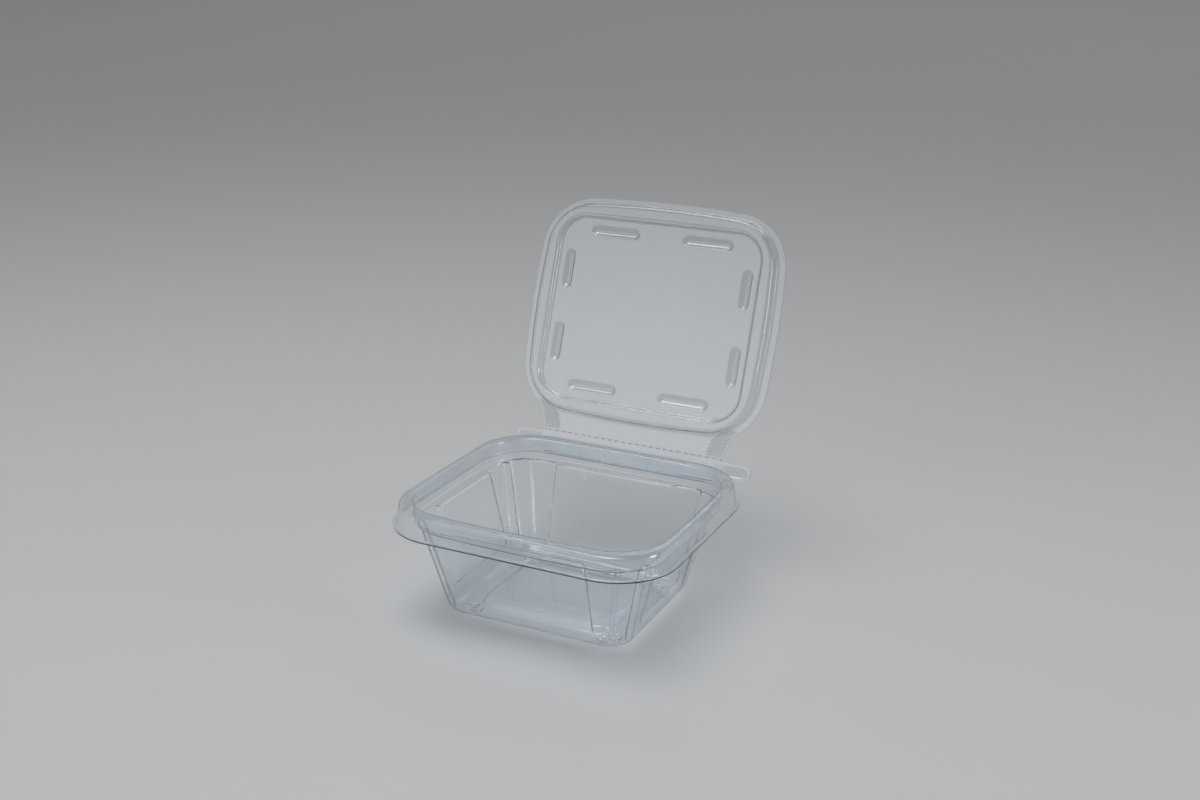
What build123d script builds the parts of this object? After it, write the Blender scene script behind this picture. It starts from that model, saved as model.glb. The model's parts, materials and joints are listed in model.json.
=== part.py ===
# Clear hinged food pack with a deep tray, a plug-fit lid and a tear strip, shown open.
# Millimetres. +X to the right, +Y towards the hinge, +Z up, the feet stand on Z = 0.
import math
import os

from build123d import *

os.makedirs("parts", exist_ok=True)

# Sheet, clearances and overrun
base_sheet = 0.5
lid_sheet = 0.35
fold_gap = 0.35
seat_clearance = 0.35
plug_clearance = 0.4
overrun = 1.0

# Base: lip, skirt and rim
lip_half_width = 66.0
lip_half_depth = 60.0
lip_corner = 27.6
lip_width = 1.6
rim_height = 55.0
skirt_height = 10.0
rim_inset = 2.8
rim_side_width = 3.8
rim_end_width = 5.6
rim_shoulder = 1.8
rim_inner_edge = 0.7

# Base: ledge, tray walls, floor and feet
ledge_side_width = 4.9
ledge_end_width = 3.6
ledge_drop = 4.0
tray_side_draft_run = 10.5
tray_end_draft_run = 10.5
tray_top_corner = 14.0
tray_floor_corner = 10.0
tray_floor_edge = 5.0
foot_height = 2.2
foot_tip_radius = 1.6
foot_root_radius = 2.6
foot_near_inset = 8.9
foot_far_inset = 13.0
plateau_rise = 3.3
plateau_margin = 13.0
plateau_slope_run = 1.6
plateau_corner = 7.0
panel_margin = 13.5
side_panel_margin = 15.0
panel_depth = 1.6
panel_bottom_height = 10.0
flute_radius = 1.7
flute_bottom_height = 7.0
flute_turn = 24.0
corner_diagonal = 45.0

# Lid: flange, plug, sunken panel and stacking ribs
flange_side_width = 4.6
flange_end_width = 3.2
flange_corner_rise = 4.0
lid_bow = 3.0
plug_corner_inset = 5.6
plug_depth = 5.7
plug_draft_run = 0.6
plug_edge = 1.2
band_side_width = 7.5
band_end_width = 7.2
panel_sink = 2.7
lid_panel_corner = 13.0
lid_panel_slope_run = 0.6
rib_length = 25.1
rib_side_length = 18.8
rib_width = 5.0
rib_depth = 1.5
rib_slope_run = 0.6
rib_row_inset = 6.3
rib_row_x = 23.8
rib_side_inset = 5.7
rib_side_y = 18.0

# Hinge: land on the lip, apron, tear strip and pull tabs
hinge_land_reach = 1.2
strip_foot_inset = 2.5
neck_inset = 17.1
neck_waist_inset = 14.6
neck_waist_reach = 7.5
neck_root_inset = 10.0
neck_root_reach = 17.0
tab_inset = 4.6
tab_height = 7.9
tab_corner = 3.7
tab_drop = 4.925
tab_rib_length = 12.5
tab_rib_width = 5.0
tab_rib_depth = 1.0
tab_rib_slope_run = 0.5
tab_rib_end_inset = 1.8

# The open lid leans back from upright
lid_lean = 19.8

# Outlines that follow from the lip, each inside the last
recess_half_width = lip_half_width - rim_inset - rim_side_width
recess_half_depth = lip_half_depth - rim_inset - rim_end_width
plug_half_width = recess_half_width - plug_clearance
plug_half_depth = recess_half_depth - plug_clearance
plug_corner = lip_corner - plug_corner_inset
recess_corner = plug_corner + plug_clearance
tray_top_half_width = recess_half_width - ledge_side_width
tray_top_half_depth = recess_half_depth - ledge_end_width
tray_floor_half_width = tray_top_half_width - tray_side_draft_run
tray_floor_half_depth = tray_top_half_depth - tray_end_draft_run
panel_half_width = tray_floor_half_width - panel_margin
side_panel_half_width = tray_floor_half_depth - side_panel_margin
lid_half_width = plug_half_width + flange_side_width
lid_half_depth = plug_half_depth + flange_end_width
lid_corner = plug_corner + flange_corner_rise
lid_panel_half_width = plug_half_width - band_side_width
lid_panel_half_depth = plug_half_depth - band_end_width
rib_row_y = lid_panel_half_depth - rib_row_inset
rib_side_x = lid_panel_half_width - rib_side_inset
neck_half_width = lid_half_width - neck_inset
neck_waist_half_width = lid_half_width - neck_waist_inset
neck_root_half_width = lid_half_width - neck_root_inset
strip_foot_half_width = neck_half_width - strip_foot_inset
tab_half_length = lip_half_width - tab_inset

# Heights and places that follow from the sizes above
lean_sin = math.sin(math.radians(lid_lean))
lean_cos = math.cos(math.radians(lid_lean))
lip_height = rim_height - skirt_height
ledge_height = rim_height - plug_depth - ledge_drop
strip_height = skirt_height + seat_clearance + lid_sheet / 2
fold_land = lip_half_depth + hinge_land_reach
lid_reach = fold_land
lid_run = strip_height + lid_reach + lid_half_depth
back_reach = fold_land + lid_run * lean_sin + lid_sheet / 2 * lean_cos
base_y = (lip_half_depth - back_reach) / 2
draft_slope = tray_side_draft_run / (ledge_height - foot_height)
wall_run = base_sheet * math.sqrt(1 + draft_slope**2)

base_plane = Plane((0, base_y, 0))
side_section = Plane((0, base_y, 0), x_dir=(0, 1, 0), z_dir=(1, 0, 0))
front_section = Plane((0, base_y, 0), x_dir=(1, 0, 0), z_dir=(0, -1, 0))
up_the_lid = Vector(0, lean_sin, lean_cos)
lid_inside = Vector(0, -lean_cos, lean_sin)
lip_fold = Vector(0, base_y + fold_land, lip_height)
lid_fold = lip_fold + up_the_lid * strip_height
lid_plane = Plane(lid_fold, x_dir=(1, 0, 0), z_dir=lid_inside)
lid_centre = lid_fold + up_the_lid * lid_reach
lid_centre_plane = Plane(lid_centre, x_dir=(1, 0, 0), z_dir=lid_inside)


def rounded_loft(plane, low, high):
    """Solid between two rounded rectangles, each (half width, half depth, corner radius, height)."""
    with BuildPart() as form:
        for half_width, half_depth, corner, height in (low, high):
            with BuildSketch(plane.offset(height)):
                RectangleRounded(2 * half_width, 2 * half_depth, corner)
        loft()
    return form.part


def bowed_loft(plane, low, high):
    """Solid between two bowed outlines, each (half width, half depth, corner radius, height).

    An outline is a rounded rectangle with four sides that swell outwards by the lid's bow.
    """
    with BuildPart() as form:
        for half_width, half_depth, corner, height in (low, high):
            end_x = half_width - lid_bow
            end_y = half_depth - lid_bow
            with BuildSketch(plane.offset(height)) as outline:
                with BuildLine():
                    ThreePointArc((-end_x, -end_y), (0, -half_depth), (end_x, -end_y))
                    ThreePointArc((end_x, -end_y), (half_width, 0), (end_x, end_y))
                    ThreePointArc((end_x, end_y), (0, half_depth), (-end_x, end_y))
                    ThreePointArc((-end_x, end_y), (-half_width, 0), (-end_x, -end_y))
                make_face()
                fillet(outline.vertices(), corner)
        loft()
    return form.part


def slot_loft(plane, low, high):
    """Solid between two stadium shapes, each (length, width, height)."""
    with BuildPart() as form:
        for length, width, height in (low, high):
            with BuildSketch(plane.offset(height)):
                SlotOverall(length, width)
        loft()
    return form.part


def foot_cone(x, y, tip, root):
    """Small round foot at a place under the tray, from tip to root, each (radius, height)."""
    with BuildPart() as form:
        for radius, height in (tip, root):
            with BuildSketch(base_plane.offset(height)):
                with Locations((x, y)):
                    Circle(radius)
        loft()
    return form.part


def tray_half(height, top, floor):
    """Half size of the drafted tray at a height, from its sizes at the ledge and at the floor."""
    height_share = (height - foot_height) / (ledge_height - foot_height)
    return floor + (top - floor) * height_share


def wall_pocket(section, top, floor, half_width, inset):
    """Wedges outside two opposite drafted walls, set in by inset, that make their centre panels."""
    high = ledge_height + overrun
    clear = top + rim_inset
    face_low = tray_half(panel_bottom_height, top, floor) - inset
    face_high = tray_half(high, top, floor) - inset
    with BuildPart() as form:
        for sign in (-1, 1):
            with BuildSketch(section):
                with BuildLine():
                    Polyline(
                        (sign * face_low, panel_bottom_height),
                        (sign * face_high, high),
                        (sign * clear, high),
                        (sign * clear, panel_bottom_height),
                        close=True,
                    )
                make_face()
            extrude(amount=half_width, both=True)
    return form.part


def corner_flute(sign_x, sign_y, turn, radius):
    """Slender cylinder along a tray corner, turned round the corner from its diagonal."""
    angle = math.radians(corner_diagonal + turn)
    with BuildPart() as form:
        for height in (flute_bottom_height, ledge_height + overrun):
            corner = tray_half(height, tray_top_corner, tray_floor_corner)
            reach_x = tray_half(height, tray_top_half_width, tray_floor_half_width) - corner
            reach_y = tray_half(height, tray_top_half_depth, tray_floor_half_depth) - corner
            x = sign_x * (reach_x + corner * math.cos(angle))
            y = sign_y * (reach_y + corner * math.sin(angle))
            with BuildSketch(base_plane.offset(height)):
                with Locations((x, y)):
                    Circle(radius)
        loft()
    return form.part


# Tray: a drafted form with set-in wall panels, fluted corners, a raised floor and eight feet
def tray_form(sheet, inset, top_height):
    """Outer form of the tray when sheet is zero, and its hollow when sheet is the wall."""
    floor_height = foot_height + sheet
    top_half_width = tray_half(top_height, tray_top_half_width, tray_floor_half_width) - inset
    top_half_depth = tray_half(top_height, tray_top_half_depth, tray_floor_half_depth) - inset
    low = (
        tray_half(floor_height, tray_top_half_width, tray_floor_half_width) - inset,
        tray_half(floor_height, tray_top_half_depth, tray_floor_half_depth) - inset,
        tray_floor_corner - inset,
        floor_height,
    )
    body = rounded_loft(base_plane, low, (top_half_width, top_half_depth, tray_top_corner - inset, top_height))
    plateau_width = tray_floor_half_width - plateau_margin + sheet
    plateau_depth = tray_floor_half_depth - plateau_margin + sheet
    plateau_top = foot_height + plateau_rise + sheet
    plateau = rounded_loft(
        base_plane,
        (plateau_width + plateau_slope_run, plateau_depth + plateau_slope_run, plateau_corner, foot_height),
        (plateau_width, plateau_depth, plateau_corner, plateau_top),
    )
    with BuildPart() as form:
        add(body)
        fillet(form.faces().sort_by(Axis.Z)[0].edges(), tray_floor_edge - sheet)
        add(plateau, mode=Mode.SUBTRACT)
        for section, top, floor, half_width in (
            (side_section, tray_top_half_depth, tray_floor_half_depth, panel_half_width),
            (front_section, tray_top_half_width, tray_floor_half_width, side_panel_half_width),
        ):
            pocket = wall_pocket(section, top, floor, half_width + sheet, panel_depth + inset)
            add(pocket, mode=Mode.SUBTRACT)
        for sign_x in (-1, 1):
            for sign_y in (-1, 1):
                for turn in (-flute_turn, flute_turn):
                    add(corner_flute(sign_x, sign_y, turn, flute_radius + sheet), mode=Mode.SUBTRACT)
                for inset_x, inset_y in (
                    (foot_near_inset, foot_far_inset),
                    (foot_far_inset, foot_near_inset),
                ):
                    foot = foot_cone(
                        sign_x * (tray_floor_half_width - inset_x),
                        sign_y * (tray_floor_half_depth - inset_y),
                        (foot_tip_radius - sheet, sheet),
                        (foot_root_radius - sheet, foot_height + sheet + overrun),
                    )
                    add(foot)
    return form.part


# Base: lip, drafted skirt, rim, recess for the plug, ledge and tray, one sheet thick
skirt_low = (lip_half_width - lip_width, lip_half_depth - lip_width, lip_corner - lip_width)
skirt_high = (lip_half_width - rim_inset, lip_half_depth - rim_inset, lip_corner - rim_inset)
lip_low = lip_height - base_sheet / 2
skirt_run = (rim_inset - lip_width) / (rim_height - lip_low)

with BuildPart() as skirt_outer:
    add(rounded_loft(base_plane, (*skirt_low, lip_low), (*skirt_high, rim_height)))
    fillet(skirt_outer.faces().sort_by(Axis.Z)[-1].edges(), rim_shoulder)

with BuildPart() as skirt_inner:
    below = skirt_run * overrun
    add(
        rounded_loft(
            base_plane,
            (*[size - base_sheet + below for size in skirt_low], lip_low - overrun),
            (*[size - base_sheet for size in skirt_high], rim_height - base_sheet),
        )
    )
    fillet(skirt_inner.faces().sort_by(Axis.Z)[-1].edges(), rim_shoulder - base_sheet)

with BuildPart() as recess_outer:
    ledge_sizes = [size + base_sheet for size in (recess_half_width, recess_half_depth, recess_corner)]
    add(
        bowed_loft(
            base_plane,
            (*ledge_sizes, ledge_height - base_sheet),
            (*[size + plug_draft_run for size in ledge_sizes], rim_height - base_sheet / 2),
        )
    )

with BuildPart() as recess_inner:
    ledge_sizes = (recess_half_width, recess_half_depth, recess_corner)
    add(
        bowed_loft(
            base_plane,
            (*ledge_sizes, ledge_height),
            (*[size + plug_draft_run for size in ledge_sizes], rim_height + overrun),
        )
    )

with BuildPart() as base:
    add(skirt_outer.part)
    with BuildSketch(base_plane.offset(lip_low)):
        RectangleRounded(2 * lip_half_width, 2 * lip_half_depth, lip_corner)
        with Locations((0, (fold_land - fold_gap + lip_half_depth - lip_width) / 2)):
            Rectangle(2 * strip_foot_half_width, fold_land - fold_gap - lip_half_depth + lip_width)
    extrude(amount=base_sheet)
    add(skirt_inner.part, mode=Mode.SUBTRACT)
    add(recess_outer.part)
    add(tray_form(0, 0, ledge_height))
    add(recess_inner.part, mode=Mode.SUBTRACT)
    fillet(base.faces().sort_by(Axis.Z)[-1].inner_wires()[0].edges(), rim_inner_edge)
    add(tray_form(base_sheet, wall_run, ledge_height + overrun), mode=Mode.SUBTRACT)

base.part.label = "base_tray"
export_step(base.part, "parts/base_tray.step")


# Lid: flange with hinge apron, plug, sunken panel and eight stacking ribs, one sheet thick
def rib_planes():
    """Middle plane, length of each stacking rib: two along every side of the lid's panel."""
    for sign_x in (-1, 1):
        for sign_y in (-1, 1):
            row_place = lid_centre_plane.from_local_coords((sign_x * rib_row_x, sign_y * rib_row_y, 0))
            yield Plane(row_place, x_dir=(1, 0, 0), z_dir=lid_inside), rib_length
            side_place = lid_centre_plane.from_local_coords((sign_x * rib_side_x, sign_y * rib_side_y, 0))
            yield Plane(side_place, x_dir=up_the_lid, z_dir=lid_inside), rib_side_length


def lid_form(sheet):
    """Plug as seen from inside when sheet is zero, and its back hollow when sheet is the wall."""
    face = lid_sheet / 2 - sheet
    root = -lid_sheet / 2 - (overrun if sheet else 0)
    tip = face + plug_depth
    panel = face + panel_sink
    tip_sizes = [size - sheet for size in (plug_half_width, plug_half_depth, plug_corner)]
    root_sizes = [size + plug_draft_run for size in tip_sizes]
    panel_sizes = [size + sheet for size in (lid_panel_half_width, lid_panel_half_depth, lid_panel_corner)]
    panel_rise_run = lid_panel_slope_run * (tip + overrun - panel) / (plug_depth - panel_sink)
    rib_rise_run = rib_slope_run * overrun / rib_depth
    with BuildPart() as form:
        add(bowed_loft(lid_centre_plane, (*root_sizes, root), (*tip_sizes, tip)))
        tip_face = form.faces().sort_by(Axis(lid_centre, lid_inside))[-1]
        fillet(tip_face.edges(), plug_edge - sheet)
        well = rounded_loft(
            lid_centre_plane,
            (*panel_sizes, panel),
            (*[size + panel_rise_run for size in panel_sizes], tip + overrun),
        )
        add(well, mode=Mode.SUBTRACT)
        for plane, length in rib_planes():
            rib = slot_loft(
                plane,
                (
                    length + 2 * (sheet + rib_rise_run),
                    rib_width + 2 * (sheet + rib_rise_run),
                    panel + overrun,
                ),
                (
                    length + 2 * (sheet - rib_slope_run),
                    rib_width + 2 * (sheet - rib_slope_run),
                    panel - rib_depth,
                ),
            )
            add(rib, mode=Mode.SUBTRACT)
    return form.part


with BuildPart() as lid:
    flange_sizes = (lid_half_width, lid_half_depth, lid_corner)
    add(bowed_loft(lid_centre_plane, (*flange_sizes, -lid_sheet / 2), (*flange_sizes, lid_sheet / 2)))
    with BuildSketch(lid_plane.offset(-lid_sheet / 2)):
        with BuildLine():
            Line((-neck_half_width, fold_gap), (neck_half_width, fold_gap))
            ThreePointArc(
                (neck_half_width, fold_gap),
                (neck_waist_half_width, neck_waist_reach),
                (neck_root_half_width, neck_root_reach),
            )
            Line((neck_root_half_width, neck_root_reach), (-neck_root_half_width, neck_root_reach))
            ThreePointArc(
                (-neck_root_half_width, neck_root_reach),
                (-neck_waist_half_width, neck_waist_reach),
                (-neck_half_width, fold_gap),
            )
        make_face()
    extrude(amount=lid_sheet)
    add(lid_form(0))
    add(lid_form(lid_sheet), mode=Mode.SUBTRACT)

lid.part.label = "lid"
export_step(lid.part, "parts/lid.step")

# Tear strip: band between the two folds, with a ribbed pull tab past the neck at each end
tab_rib_x = tab_half_length - tab_rib_end_inset - tab_rib_length / 2
with BuildPart() as strip:
    with BuildSketch(lid_plane.offset(-lid_sheet / 2)):
        with BuildLine():
            Polyline(
                (-neck_half_width, -fold_gap),
                (neck_half_width, -fold_gap),
                (strip_foot_half_width, fold_gap - strip_height),
                (-strip_foot_half_width, fold_gap - strip_height),
                close=True,
            )
        make_face()
        with Locations((0, -tab_drop)):
            RectangleRounded(2 * tab_half_length, tab_height, tab_corner)
    extrude(amount=lid_sheet)
    for sign in (-1, 1):
        rib_place = lid_plane.from_local_coords((sign * tab_rib_x, -tab_drop, 0))
        rib_plane = Plane(rib_place, x_dir=(1, 0, 0), z_dir=-lid_inside)
        crest = lid_sheet / 2 + tab_rib_depth
        crest_length = tab_rib_length - 2 * tab_rib_slope_run
        crest_width = tab_rib_width - 2 * tab_rib_slope_run
        add(slot_loft(rib_plane, (tab_rib_length, tab_rib_width, 0), (crest_length, crest_width, crest)))
        add(
            slot_loft(
                rib_plane,
                (tab_rib_length - 2 * lid_sheet, tab_rib_width - 2 * lid_sheet, -lid_sheet),
                (crest_length - 2 * lid_sheet, crest_width - 2 * lid_sheet, crest - lid_sheet),
            ),
            mode=Mode.SUBTRACT,
        )

strip.part.label = "tear_strip"
export_step(strip.part, "parts/tear_strip.step")
print("lip fold", lip_fold, "lid fold", lid_fold, "base centre y", base_y)
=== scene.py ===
"""Clear hinged food pack, standing open: a deep tray, a tear strip and a plug-fit lid in one clear moulded sheet.

Every size here is in millimetres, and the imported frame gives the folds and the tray's place in metres.
"""
import json
import logging
import math
from dataclasses import dataclass, field
from enum import Enum
from typing import Any

import bpy
import numpy as np
from mathutils import Matrix, Vector


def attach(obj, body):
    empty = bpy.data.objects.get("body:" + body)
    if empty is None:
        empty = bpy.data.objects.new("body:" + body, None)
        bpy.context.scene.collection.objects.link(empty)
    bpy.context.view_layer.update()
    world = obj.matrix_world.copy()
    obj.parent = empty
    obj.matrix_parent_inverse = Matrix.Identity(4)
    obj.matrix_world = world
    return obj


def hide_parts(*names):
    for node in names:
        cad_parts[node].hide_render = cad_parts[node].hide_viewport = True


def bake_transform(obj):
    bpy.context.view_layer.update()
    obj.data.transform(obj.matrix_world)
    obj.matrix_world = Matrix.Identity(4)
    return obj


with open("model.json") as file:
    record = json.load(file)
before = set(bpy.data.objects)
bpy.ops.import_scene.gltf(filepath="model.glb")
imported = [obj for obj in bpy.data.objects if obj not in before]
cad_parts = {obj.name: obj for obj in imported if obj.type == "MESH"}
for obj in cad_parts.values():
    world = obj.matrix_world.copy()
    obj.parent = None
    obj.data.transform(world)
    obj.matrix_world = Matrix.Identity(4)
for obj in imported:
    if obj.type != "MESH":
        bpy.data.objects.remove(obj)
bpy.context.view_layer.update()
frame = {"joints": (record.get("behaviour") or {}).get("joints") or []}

MILLIMETRE = 0.001

# What meets at the folds: the thin wall, half a fold's gap, the way from the middle of base or lid to its fold,
# and half the length of each fold.
THIN_SHEET = 0.35
FOLD_GAP = 0.35
FOLD_REACH = 61.2
LIP_FOLD_HALF = 44.0
TEAR_LINE_HALF = 46.5

# Limits that keep the formulas smooth: the least bow of a straight side, and the bend where a groove starts.
LEAST_BOW = 1e-4
GROOVE_BEND_SHARE = 0.12

# Where the height stands among a ring's numbers, and the colour sockets of a Mix node.
HEIGHT = 4
MIX_FIRST, MIX_SECOND, MIX_RESULT = 6, 7, 2

Triple = tuple[float, float, float]
Colour = tuple[float, float, float, float]

log = logging.getLogger("clear_pack")


class Body(Enum):
    """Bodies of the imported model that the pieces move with."""

    BASE = "base"
    STRIP = "strip"
    LID = "lid"


class Zone(Enum):
    """Stretches of a quarter outline, from the middle of the right side to the middle of the back."""

    SIDE = 0
    CORNER = 1
    END = 2


def smooth_step(low: float, high: float, value: np.ndarray) -> np.ndarray:
    """Cubic rise from 0 at low to 1 at high, or a fall where low is the larger.

    Args:
        low: value where the rise starts.
        high: value where it ends.
        value: numbers to map.

    Returns:
        Shares from 0 to 1.
    """
    share = np.clip((value - low) / (high - low), 0.0, 1.0)
    return share * share * (3.0 - 2.0 * share)


def stadium_distance(along: np.ndarray, across: np.ndarray, length: float, width: float) -> np.ndarray:
    """Signed distance to a stadium shape at the origin, negative inside it.

    Args:
        along: coordinate along the stadium's long axis.
        across: coordinate across it.
        length: overall length.
        width: overall width.

    Returns:
        Distance to the nearest point of the outline.
    """
    past_end = np.maximum(np.abs(along) - (length - width) / 2, 0.0)
    return np.hypot(past_end, across) - width / 2


def round_groove(distance: np.ndarray, half_width: float) -> np.ndarray:
    """Depth share of a groove with a round bottom: a parabola across it, with a small bend where it starts.

    Args:
        distance: signed distance to the groove's outline, negative inside.
        half_width: half the groove's width.

    Returns:
        Shares from 0 outside to 1 along the groove's middle.
    """
    share = np.clip(-distance / half_width, 0.0, 1.0)
    return (1.0 - (1.0 - share) ** 2) * smooth_step(0.0, GROOVE_BEND_SHARE, share)


def graded(*stretches: tuple[float, float, int]) -> np.ndarray:
    """Rising numbers in stretches of even steps.

    Args:
        stretches: start, end and count of each stretch, with the end left out.

    Returns:
        All the numbers, in order.
    """
    return np.concatenate([np.linspace(low, high, count, endpoint=False) for low, high, count in stretches])


@dataclass(frozen=True)
class Turns:
    """Columns of a sheet round its middle: for each, its zone, its share of that zone and its quarter's signs."""

    zone: np.ndarray
    share: np.ndarray
    sign_x: np.ndarray
    sign_y: np.ndarray

    @classmethod
    def spread(cls, side: np.ndarray, corner: np.ndarray, end: np.ndarray) -> "Turns":
        """Columns for a whole turn from the shares of one quarter.

        Args:
            side: shares from the middle of the right side to its corner, the corner left out.
            corner: shares round the corner, its end left out.
            end: shares from the middle of the back to the corner, the corner left out.

        Returns:
            The four quarters, each the mirror of the last, with no column twice.
        """
        zones = (Zone.SIDE, Zone.CORNER, Zone.END)
        counts = [len(side), len(corner), len(end) + 1]
        zone = np.repeat([z.value for z in zones], counts)
        share = np.concatenate([side, corner, [1.0], end[::-1]])
        ways = [(1, 1, 1), (-1, -1, 1), (1, -1, -1), (-1, 1, -1)]
        return cls(
            zone=np.concatenate([zone[::way][:-1] for way, _, _ in ways]),
            share=np.concatenate([share[::way][:-1] for way, _, _ in ways]),
            sign_x=np.repeat([x for _, x, _ in ways], len(zone) - 1),
            sign_y=np.repeat([y for _, _, y in ways], len(zone) - 1),
        )

    def at(self, zone: Zone) -> np.ndarray:
        """True for the columns in a zone."""
        return self.zone == zone.value


@dataclass(frozen=True)
class Ring:
    """One corner of a sheet's profile: an outline's sizes, its height and how far the bend there reaches."""

    half_width: float
    half_depth: float
    corner: float
    height: float
    bow: float = 0.0
    bend: float = 0.0
    bend_rows: int = 0
    run_rows: int = 0

    def sizes(self) -> np.ndarray:
        """The ring's numbers in the order that the outline takes them."""
        return np.array([self.half_width, self.half_depth, self.corner, self.bow, self.height])


def rounded_profile(rings: list[Ring]) -> tuple[np.ndarray, np.ndarray]:
    """Rows of a profile that runs straight from ring to ring and bends round each in a quadratic curve.

    A bend starts and ends at the ring's bend distance from it, and its curve is pulled by the ring itself.

    Args:
        rings: the profile's corners, from the sheet's edge to its middle.

    Returns:
        Rows of outline sizes and height, and each row's place: 2.5 is halfway from ring 2 to ring 3.
    """
    knots = np.array([ring.sizes() for ring in rings])
    steps = np.diff(knots, axis=0)
    runs = np.hypot((steps[:, 0] + steps[:, 1]) / 2, steps[:, HEIGHT])
    rows, places = [], []
    for index, ring in enumerate(rings):
        before = ring.bend / runs[index - 1] if index else 0.0
        after = ring.bend / runs[index] if index < len(runs) else 0.0
        share = np.linspace(0.0, 1.0, max(ring.bend_rows, 1))[:, None]
        start = knots[index] - (steps[index - 1] * before if index else 0.0)
        stop = knots[index] + (steps[index] * after if index < len(runs) else 0.0)
        rows.append((1 - share) ** 2 * start + 2 * share * (1 - share) * knots[index] + share**2 * stop)
        places.append(index - before + (before + after) * share[:, 0])
        if index < len(runs):
            next_bend = rings[index + 1].bend / runs[index]
            run_share = np.linspace(after, 1 - next_bend, ring.run_rows + 2)[1:-1]
            rows.append(knots[index] + steps[index] * run_share[:, None])
            places.append(index + run_share)
    return np.concatenate(rows), np.concatenate(places)


@dataclass(frozen=True)
class Outlines:
    """Points and outward normals of a stack of outlines, each an array of rows by columns."""

    x: np.ndarray
    y: np.ndarray
    normal_x: np.ndarray
    normal_y: np.ndarray
    corner: np.ndarray
    turn: np.ndarray


def outlines(rows: np.ndarray, turns: Turns) -> Outlines:
    """Rounded rectangles with sides that swell outwards by a bow, one for each row.

    Each side is an arc through its swollen middle. The corner arc touches both sides, so its centre is where
    the two side circles, drawn in by the corner's radius, cross.

    Args:
        rows: half width, half depth, corner radius and bow of each outline, in the first four columns.
        turns: the columns round the outline.

    Returns:
        The points, their outward normals, the corner radii and the angle of each normal in its own quarter.
    """
    half_width, half_depth, corner, bow = (rows[:, k : k + 1] for k in range(4))
    bow = np.maximum(bow, LEAST_BOW)
    side_radius = ((half_depth - bow) ** 2 + bow**2) / (2 * bow)
    end_radius = ((half_width - bow) ** 2 + bow**2) / (2 * bow)
    side_x, end_y = half_width - side_radius, half_depth - end_radius
    reach = np.hypot(side_x, end_y)
    inner_side, inner_end = side_radius - corner, end_radius - corner
    along = (inner_side**2 - inner_end**2 + reach**2) / (2 * reach)
    off = np.sqrt(inner_side**2 - along**2)
    unit_x, unit_y = -side_x / reach, end_y / reach
    centre_x = side_x + along * unit_x - off * unit_y
    centre_y = along * unit_y + off * unit_x
    first = np.arctan2(centre_y, centre_x - side_x)
    last = np.arctan2(centre_y - end_y, centre_x)

    share = turns.share[None, :]
    angle = first + (last - first) * share
    side_y = share * side_radius * np.sin(first)
    side_root = np.sqrt(side_radius**2 - side_y**2)
    end_x = share * end_radius * np.cos(last)
    end_root = np.sqrt(end_radius**2 - end_x**2)
    bowed_x = half_width - side_y**2 / (side_radius + side_root)
    bowed_y = half_depth - end_x**2 / (end_radius + end_root)
    choice = [np.broadcast_to(turns.at(zone), angle.shape) for zone in (Zone.SIDE, Zone.CORNER)]
    x = np.select(choice, [bowed_x, centre_x + corner * np.cos(angle)], end_x)
    y = np.select(choice, [side_y, centre_y + corner * np.sin(angle)], bowed_y)
    turn = np.select(choice, [np.arcsin(side_y / side_radius), angle], np.arccos(end_x / end_radius))
    return Outlines(
        x * turns.sign_x,
        y * turns.sign_y,
        np.cos(turn) * turns.sign_x,
        np.sin(turn) * turns.sign_y,
        np.broadcast_to(corner, angle.shape),
        turn,
    )


@dataclass(frozen=True)
class Place:
    """Where a flat drawing lies: an origin and the directions of its three axes, in millimetres."""

    origin: np.ndarray
    across: np.ndarray
    up: np.ndarray
    out: np.ndarray

    def points(self, x: np.ndarray, y: np.ndarray, z: np.ndarray) -> np.ndarray:
        """Points of the drawing in the frame, in metres.

        Args:
            x: coordinate across the drawing.
            y: coordinate up the drawing.
            z: height off the drawing.

        Returns:
            An array with one more axis, of three coordinates.
        """
        axes = np.array([self.across, self.up, self.out])
        return (self.origin + np.stack(np.broadcast_arrays(x, y, z), axis=-1) @ axes) * MILLIMETRE


def grid_faces(rows: int, columns: int, wrap: bool) -> np.ndarray:
    """Quads of a grid of points, as indices into its flat list.

    Args:
        rows: number of rows.
        columns: number of columns.
        wrap: True where the last column joins the first.

    Returns:
        An array of quads.
    """
    index = np.arange(rows * columns).reshape(rows, columns)
    right = np.roll(index, -1, axis=1)
    quads = np.stack([index[:-1], right[:-1], right[1:], index[1:]], axis=-1)
    return (quads if wrap else quads[:, :-1]).reshape(-1, 4)


def sheet_object(
    name: str, points: np.ndarray, faces: list, edge_points: np.ndarray, thickness: float | None
) -> bpy.types.Object:
    """A smooth mesh object, thickened to a wall with crisp cut edges.

    Args:
        name: the piece's name.
        points: points in metres, in any grid.
        faces: lists of point indices.
        edge_points: True for each point on the sheet's cut edge.
        thickness: wall in millimetres, or None for a closed form.

    Returns:
        The linked object, at the origin.
    """
    mesh = bpy.data.meshes.new(name)
    mesh.from_pydata(points.reshape(-1, 3), [], faces)
    mesh.polygons.foreach_set("use_smooth", np.ones(len(mesh.polygons), dtype=bool))
    ends = np.zeros(len(mesh.edges) * 2, dtype=np.int32)
    mesh.edges.foreach_get("vertices", ends)
    mesh.edges.foreach_set("use_edge_sharp", edge_points[ends.reshape(-1, 2)].all(axis=1))
    mesh.update()
    obj = bpy.data.objects.new(name, mesh)
    bpy.context.scene.collection.objects.link(obj)
    if thickness is not None:
        wall = obj.modifiers.new("wall", "SOLIDIFY")
        wall.thickness = thickness * MILLIMETRE
        wall.offset = 0.0
        wall.use_even_offset = True
        wall.use_quality_normals = True
    return obj


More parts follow.
